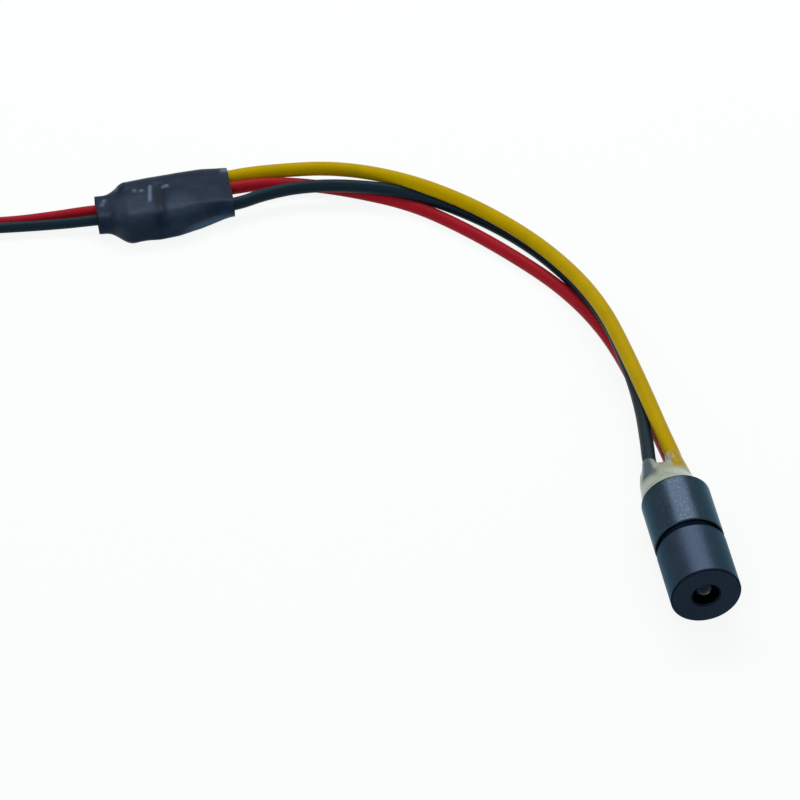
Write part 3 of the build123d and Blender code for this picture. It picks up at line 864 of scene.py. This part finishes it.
class LASERMODULE_OT_supply(Operator):
    """Lay the supply pair, wind its coil, tie it and strip its ends"""

    bl_idname = "laser_module.supply"
    bl_label = "Supply pair"

    entry_angle = 90.0
    rise_start = 330.0
    rise_end = 405.0
    exit_angle = 580.0
    tail_length = 9.0 * MM
    tail_drop = 1.2 * MM
    tip_length = 4.0 * MM
    tip_root = 0.3 * MM
    tip_turns = 1.1
    tip_steps = 40
    strand_radius = 0.13 * MM
    strand_offset = 0.22 * MM
    outer_strands = 6
    tie_angle = 150.0
    tie_corner = 0.7 * MM

    def on_coil(self, radius, angle, height):
        """A place on the coil, at an angle in radians and a height above the table."""
        out = Vector((radius * math.cos(angle), radius * math.sin(angle), height))
        return Vector(settings().coil.centre) + out

    def turns(self, radius):
        """Route points of the coil: one layer, a rise, and a part of a second layer."""
        coil = settings().coil
        low = coil.tie + settings().leads.supply / 2
        step = 360.0 / coil.points_per_turn
        reach = radius / math.cos(math.radians(step / 2))
        points = []
        count = int((self.exit_angle - self.entry_angle) / step)
        for index in range(count + 1):
            degrees = self.entry_angle + index * step
            share = min(max((degrees - self.rise_start) / (self.rise_end - self.rise_start), 0.0), 1.0)
            height = low + coil.pitch * share * share * (3 - 2 * share)
            points.append(self.on_coil(reach, math.radians(degrees), height))
        return points

    def tail(self, radius):
        """Start and direction of a tail, where it leaves the coil."""
        coil = settings().coil
        angle = math.radians(self.exit_angle)
        start = self.on_coil(radius, angle, coil.tie + settings().leads.supply / 2 + coil.pitch)
        fall = -self.tail_drop / self.tail_length
        return start, Vector((-math.sin(angle), math.cos(angle), fall)).normalized()

    def stripped_end(self, name, start, direction, material):
        """Twisted and tinned strands past the end of the insulation."""
        shape = bmesh.new()
        offsets = [(0.0, 0.0)]
        for index in range(self.outer_strands):
            angle = index * FULL_TURN / self.outer_strands
            offsets.append((self.strand_offset * math.cos(angle), self.strand_offset * math.sin(angle)))
        for offset in offsets:
            ring = bmesh.ops.create_circle(
                shape, cap_ends=True, segments=8, radius=self.strand_radius,
                matrix=Matrix.Translation((*offset, -self.tip_root)),
            )
            faces = list({face for vert in ring["verts"] for face in vert.link_faces})
            bmesh.ops.spin(
                shape, geom=faces, cent=(0, 0, 0), axis=(0, 0, 1), angle=self.tip_turns * FULL_TURN,
                steps=self.tip_steps, dvec=(0, 0, (self.tip_length + self.tip_root) / self.tip_steps),
            )
        aim = direction.to_track_quat("Z", "Y").to_matrix().to_4x4()
        bmesh.ops.transform(shape, matrix=Matrix.Translation(start) @ aim, verts=shape.verts)
        return make_piece(name, shape, material, "tinned_wire", name.replace("_strands", "_tip"))

    def band(self):
        """The tie: a soft band turned round the coil's section over a short arc."""
        coil = settings().coil
        reach = coil.pitch + settings().leads.supply + coil.tie
        half_arc = coil.tie_width / 2 / coil.radius
        shape = bmesh.new()
        ring = bmesh.ops.create_circle(shape, segments=4, radius=reach / math.sqrt(2))["verts"]
        bmesh.ops.rotate(shape, verts=ring, matrix=Matrix.Rotation(math.radians(45), 3, "Z"))
        bmesh.ops.bevel(
            shape, geom=ring, offset=self.tie_corner, segments=6, profile=0.5, affect="VERTICES",
            material=-1,
        )
        bmesh.ops.rotate(shape, verts=shape.verts, matrix=Matrix.Rotation(math.radians(90), 3, "X"))
        middle = coil.tie / 2 + reach / 2
        bmesh.ops.translate(shape, verts=shape.verts, vec=(coil.radius, 0, middle))
        start = Matrix.Rotation(math.radians(self.tie_angle) - half_arc, 3, "Z")
        bmesh.ops.rotate(shape, verts=shape.verts, matrix=start)
        bmesh.ops.spin(
            shape, geom=shape.verts[:] + shape.edges[:], cent=(0, 0, 0), axis=(0, 0, 1),
            angle=2 * half_arc, steps=8,
        )
        bmesh.ops.translate(shape, verts=shape.verts, vec=coil.centre)
        finish = moulded_finish("tie_plastic", (0.03, 0.03, 0.034), 0.5, 0.12 * MM)
        piece = make_piece("coil_band", shape, finish, "tie_plastic", "coil_tie")
        wall = piece.modifiers.new("wall", "SOLIDIFY")
        wall.thickness = coil.tie
        wall.offset = 0.0
        soften_edges(piece, 0.08 * MM)
        return piece

    def execute(self, context):
        leads = settings().leads
        coil = settings().coil
        tinned = metal_finish("tinned_wire", (0.66, 0.66, 0.63), 0.28, 0.08 * MM)
        band = self.band()
        # Colour's name, route to the coil, radius of its turns, length in metres
        rows = (
            ("red", RED_SUPPLY_POINTS, coil.radius + coil.pitch / 2, 0.103),
            ("black", BLACK_SUPPLY_POINTS, coil.radius - coil.pitch / 2, 0.092),
        )
        for name, points, radius, length in rows:
            start, direction = self.tail(radius)
            tail = [start + direction * self.tail_length * share for share in (0.3, 0.65, 1.0)]
            route = placed(points) + self.turns(radius) + tail
            material = bpy.data.objects[f"{name}_lead_wire"].data.materials[0]
            cord = lay_cord(f"{name}_supply_wire", route, leads.supply, material)
            adopt(cord, f"{name}_insulation", f"{name}_supply_lead", "supply_coil")
            strands = self.stripped_end(f"{name}_supply_strands", tail[-1], direction, tinned)
        return {"FINISHED"}


class LASERMODULE_OT_glue(Operator):
    """Cast the glue behind the barrel and up the two upper leads"""

    bl_idname = "laser_module.glue"
    bl_label = "Glue"

    yellow_climb = 2.0 * MM
    yellow_shift = -0.12 * MM
    black_climb = 1.0 * MM
    collar_root = 2.4 * MM
    collar_foot = 0.25 * MM
    collar_lip = 0.04 * MM
    smoothing_rounds = 14

    def collar(self, shape, points, diameter, climb, shift):
        """A cone of glue that climbs a lead from its third point on, thicker on one side."""
        start, onward = placed(points)[2:4]
        direction = (onward - start).normalized()
        aim = direction.to_track_quat("Z", "Y").to_matrix().to_4x4()
        middle = start + direction * (climb - self.collar_root) / 2 + Vector((shift, 0, 0))
        bmesh.ops.create_cone(
            shape, cap_ends=True, segments=32, radius1=diameter / 2 + self.collar_foot,
            radius2=diameter / 2 + self.collar_lip, depth=climb + self.collar_root,
            matrix=Matrix.Translation(middle) @ aim,
        )

    def execute(self, context):
        leads = settings().leads
        shape = bmesh.new()
        rings = []
        for behind, left, right, bottom, top in GLUE_ROWS:
            ring = bmesh.ops.create_circle(shape, segments=48, radius=1.0)["verts"]
            bmesh.ops.scale(shape, verts=ring, vec=((right - left) / 2 * MM, (top - bottom) / 2 * MM, 1))
            bmesh.ops.rotate(shape, verts=ring, matrix=Matrix.Rotation(math.radians(90), 3, "X"))
            middle = Vector(((left + right) / 2 * MM, REAR_FACE + behind * MM, (bottom + top) / 2 * MM))
            bmesh.ops.translate(shape, verts=ring, vec=middle)
            rings.append([edge for edge in shape.edges if edge.verts[0] in ring])
        for first, second in zip(rings, rings[1:]):
            bmesh.ops.bridge_loops(shape, edges=first + second)
        bmesh.ops.holes_fill(shape, edges=rings[0] + rings[-1])
        self.collar(shape, YELLOW_POINTS, leads.yellow_lead, self.yellow_climb, self.yellow_shift)
        self.collar(shape, BLACK_POINTS, leads.lead, self.black_climb, 0.0)
        piece = make_piece("cast_glue", shape, glue_finish(), "milky_glue", "glue_potting")
        cells = piece.modifiers.new("cells", "REMESH")
        cells.mode = "VOXEL"
        cells.voxel_size = settings().glue.fineness
        flow = piece.modifiers.new("flow", "SMOOTH")
        flow.factor = 0.5
        flow.iterations = self.smoothing_rounds
        settle(piece)
        return {"FINISHED"}


class LASERMODULE_OT_sleeve(Operator):
    """Shrink the sleeve over the driver"""

    bl_idname = "laser_module.sleeve"
    bl_label = "Heat-shrink sleeve"

    rings = 110
    segments = 120
    inset = 0.02 * MM
    tube_radius = 8.0 * MM
    axis_height = 1.8 * MM
    even_rounds = 3
    corner_rounds = 14
    corner_behind = 78.0 * MM
    corner_height = 1.5 * MM

    # Swelling of the wall in millimetres
    swell = 0.07
    unevenness = 0.05
    lump_size = 1.7
    neck_swell = 0.14
    neck_x = -53.6
    side_share = 0.4

    def rise(self, place, normal):
        """How far the sleeve is pushed out at a place, and how pale it is painted there: partly stretch
        whitening, partly painted glints, painted light and painted shade.
        """
        pale = 0.0
        pushed = self.swell + self.unevenness * noise.noise(place / (self.lump_size * MM))
        pushed += self.neck_swell * min(max(self.neck_x - place.x / MM, 0.0), 1.0)
        upper = min(max(normal.z + self.side_share, 0.0), 1.0)
        spot = Vector((place.x, place.y)) / MM
        for first_x, first_y, last_x, last_y, half_width, height, softness, paleness in SLEEVE_FOLDS:
            first = Vector((first_x, first_y))
            along = Vector((last_x, last_y)) - first
            share = min(max((spot - first).dot(along) / along.length_squared, 0.0), 1.0)
            outside = max((spot - first - along * share).length - half_width, 0.0) / softness
            weight = math.exp(-outside * outside) * upper
            pushed += height * weight
            pale += paleness * weight
        return pushed * MM, pale

    def smooth(self, shape, verts, rounds):
        """Even out the wall without drawing its ends in."""
        for _ in range(rounds):
            bmesh.ops.smooth_vert(
                shape, verts=verts, factor=0.5, use_axis_x=False, use_axis_y=True, use_axis_z=True
            )

    def execute(self, context):
        low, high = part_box("heat_shrink_sleeve")
        length = high.x - low.x - 2 * self.inset
        middle = Vector(((low.x + high.x) / 2, (low.y + high.y) / 2, low.z + self.axis_height))
        shape = bmesh.new()
        bmesh.ops.create_cone(
            shape, segments=self.segments, radius1=self.tube_radius, radius2=self.tube_radius, depth=length,
            matrix=Matrix.Translation(middle) @ Matrix.Rotation(math.radians(90), 4, "Y"),
        )
        lengthwise = [
            edge for edge in shape.edges if abs(edge.verts[0].co.x - edge.verts[1].co.x) > length / 2
        ]
        bmesh.ops.subdivide_edges(shape, edges=lengthwise, cuts=self.rings, use_grid_fill=True)
        finish = shrunk_finish(settings().sleeve.colour)
        piece = make_piece("shrunk_sleeve", shape, finish, "heat_shrink")
        wrap = piece.modifiers.new("wrap", "SHRINKWRAP")
        wrap.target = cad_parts["heat_shrink_sleeve"]
        wrap.wrap_method = "PROJECT"
        wrap.use_negative_direction = True
        wrap.use_positive_direction = False
        settle(piece)
        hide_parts("heat_shrink_sleeve")

        shape = bmesh.new()
        shape.from_mesh(piece.data)
        self.smooth(shape, shape.verts, self.even_rounds)
        front_corner = [
            vert for vert in shape.verts
            if vert.co.y < self.corner_behind and vert.co.z > TABLE + self.corner_height
        ]
        self.smooth(shape, front_corner, self.corner_rounds)
        shape.normal_update()
        # The attribute stores the folds' paleness, partly stretch whitening and partly painted glints, light
        # and shade
        stretch = shape.verts.layers.float.new("stretch")
        for vert in shape.verts:
            pushed, pale = self.rise(vert.co, vert.normal)
            vert[stretch] = 0.5 + 0.5 * pale
            vert.co += vert.normal * pushed
            vert.co.z = max(vert.co.z, low.z)
        shape.to_mesh(piece.data)
        shape.free()
        wall = piece.modifiers.new("wall", "SOLIDIFY")
        wall.thickness = settings().sleeve.wall
        wall.offset = -1.0
        return {"FINISHED"}


class LASERMODULE_OT_driver(Operator):
    """Dress the driver board and its parts"""

    bl_idname = "laser_module.driver"
    bl_label = "Driver board"

    def execute(self, context):
        dress(laminate_finish(), "driver_board")
        package = moulded_finish("package_black", (0.025, 0.025, 0.028), 0.5, 0.08 * MM)
        dress(package, "driver_ic", "drive_transistor")
        dress(moulded_finish("tantalum_ochre", (0.6, 0.34, 0.07), 0.45, 0.08 * MM), "tantalum_capacitor")
        dress(moulded_finish("capacitor_tan", (0.46, 0.33, 0.2), 0.4, 0.05 * MM), "ceramic_capacitor")
        dress(moulded_finish("resistor_dark", (0.04, 0.04, 0.046), 0.3, 0.05 * MM), "chip_resistors")
        return {"FINISHED"}


class LASERMODULE_OT_stage(Operator):
    """Set the floor, the lights and the camera"""

    bl_idname = "laser_module.stage"
    bl_label = "Stage"

    aim = millimetres(-27.11, 41.37, -4.0)
    distance = 479.25 * MM
    azimuth = -9.842
    elevation = 42.732

    floor_reach = 3.0

    def floor(self):
        """A pale floor that looks plain, with a faint shadow."""
        stage = settings().stage
        finish = Finish("pale_floor")
        finish.tree.nodes.remove(finish.shader)
        lit = finish.node("ShaderNodeBsdfDiffuse", inputs={"Color": stage.floor_colour})
        plain = finish.node("ShaderNodeEmission", inputs={"Color": stage.floor_colour, "Strength": 1.0})
        share = finish.seen_directly() * (1.0 - stage.shadow_share)
        mixed = finish.node("ShaderNodeMixShader", inputs=[share, lit, plain])
        finish.feed(finish.tree.nodes["Material Output"].inputs["Surface"], mixed)
        shape = bmesh.new()
        bmesh.ops.create_grid(shape, x_segments=1, y_segments=1, size=self.floor_reach)
        bmesh.ops.translate(shape, verts=shape.verts, vec=(0, 0, TABLE))
        floor = add_shape("floor", shape, finish.material)

    def sky(self):
        """Even light from all round, which looks as pale as the floor."""
        stage = settings().stage
        world = bpy.data.worlds.new("studio")
        world.use_nodes = True
        bpy.context.scene.world = world
        nodes = Nodes(world.node_tree)
        background = world.node_tree.nodes["Background"]
        nodes.feed(background.inputs["Color"], stage.floor_colour)
        nodes.feed(background.inputs["Strength"], nodes.seen_directly() * (1.0 - stage.sky) + stage.sky)

    def towards(self, azimuth, elevation):
        """Direction from the module to a lamp or the camera; azimuth 0 lies behind the module."""
        across = math.radians(azimuth)
        up = math.radians(elevation)
        return Vector((math.sin(across) * math.cos(up), math.cos(across) * math.cos(up), math.sin(up)))

    def lamp(self, name, middle, azimuth, elevation, distance, size, power, colour):
        """A soft rectangular light that faces a place from a direction."""
        light = bpy.data.lights.new(name, "AREA")
        light.shape = "RECTANGLE"
        light.size, light.size_y = size
        light.energy = power
        light.color = colour
        direction = self.towards(azimuth, elevation)
        lamp = add_object(name, light)
        lamp.location = middle + direction * distance
        lamp.rotation_euler = direction.to_track_quat("Z", "Y").to_euler()

    def camera(self):
        """The photograph's view."""
        lens = bpy.data.cameras.new("camera")
        lens.lens = settings().stage.focal_length
        lens.sensor_width = 36.0
        lens.sensor_fit = "HORIZONTAL"
        direction = self.towards(180.0 - self.azimuth, self.elevation)
        camera = add_object("camera", lens)
        camera.location = self.aim + direction * self.distance
        camera.rotation_euler = (math.radians(90.0 - self.elevation), 0.0, math.radians(self.azimuth))
        bpy.context.scene.camera = camera

    def execute(self, context):
        stage = settings().stage
        self.floor()
        self.sky()
        self.lamp(
            "key_light", middle=millimetres(0.0, 8.0, 4.0), azimuth=0.0, elevation=47.0, distance=0.32,
            size=(0.28, 0.09), power=stage.key_power, colour=(1.0, 0.87, 0.86),
        )
        self.lamp(
            "fill_light", middle=millimetres(-25.0, 40.0, 0.0), azimuth=-150.0, elevation=50.0, distance=0.7,
            size=(0.5, 0.5), power=stage.fill_power, colour=(1.0, 1.0, 1.0),
        )
        self.camera()
        context.scene.view_settings.view_transform = "Standard"
        return {"FINISHED"}


OPERATORS = (
    LASERMODULE_OT_barrel,
    LASERMODULE_OT_optics,
    LASERMODULE_OT_leads,
    LASERMODULE_OT_supply,
    LASERMODULE_OT_glue,
    LASERMODULE_OT_sleeve,
    LASERMODULE_OT_driver,
    LASERMODULE_OT_stage,
)


class LASERMODULE_PT_panel(Panel):
    """Sidebar panel with the module's steps and settings"""

    bl_idname = "LASERMODULE_PT_panel"
    bl_label = "Laser Module"
    bl_space_type = "VIEW_3D"
    bl_region_type = "UI"
    bl_category = "Laser Module"

    def draw(self, context):
        steps = self.layout.column(align=True)
        for operator in OPERATORS:
            steps.operator(operator.bl_idname)
        module = context.scene.laser_module
        for group in (module.barrel, module.leads, module.glue, module.sleeve, module.coil, module.stage):
            box = self.layout.box()
            for name in group.__annotations__:
                box.prop(group, name)


CLASSES = (
    BarrelSettings, LeadSettings, GlueSettings, SleeveSettings, CoilSettings, StageSettings, ModuleSettings,
    *OPERATORS, LASERMODULE_PT_panel,
)


def register():
    for item in CLASSES:
        bpy.utils.register_class(item)
    bpy.types.Scene.laser_module = PointerProperty(type=ModuleSettings)


def unregister():
    del bpy.types.Scene.laser_module
    for item in reversed(CLASSES):
        bpy.utils.unregister_class(item)


def main():
    register()
    bpy.ops.laser_module.barrel()
    bpy.ops.laser_module.optics()
    bpy.ops.laser_module.leads()
    bpy.ops.laser_module.supply()
    bpy.ops.laser_module.glue()
    bpy.ops.laser_module.sleeve()
    bpy.ops.laser_module.driver()
    bpy.ops.laser_module.stage()


if __name__ == "__main__":
    main()
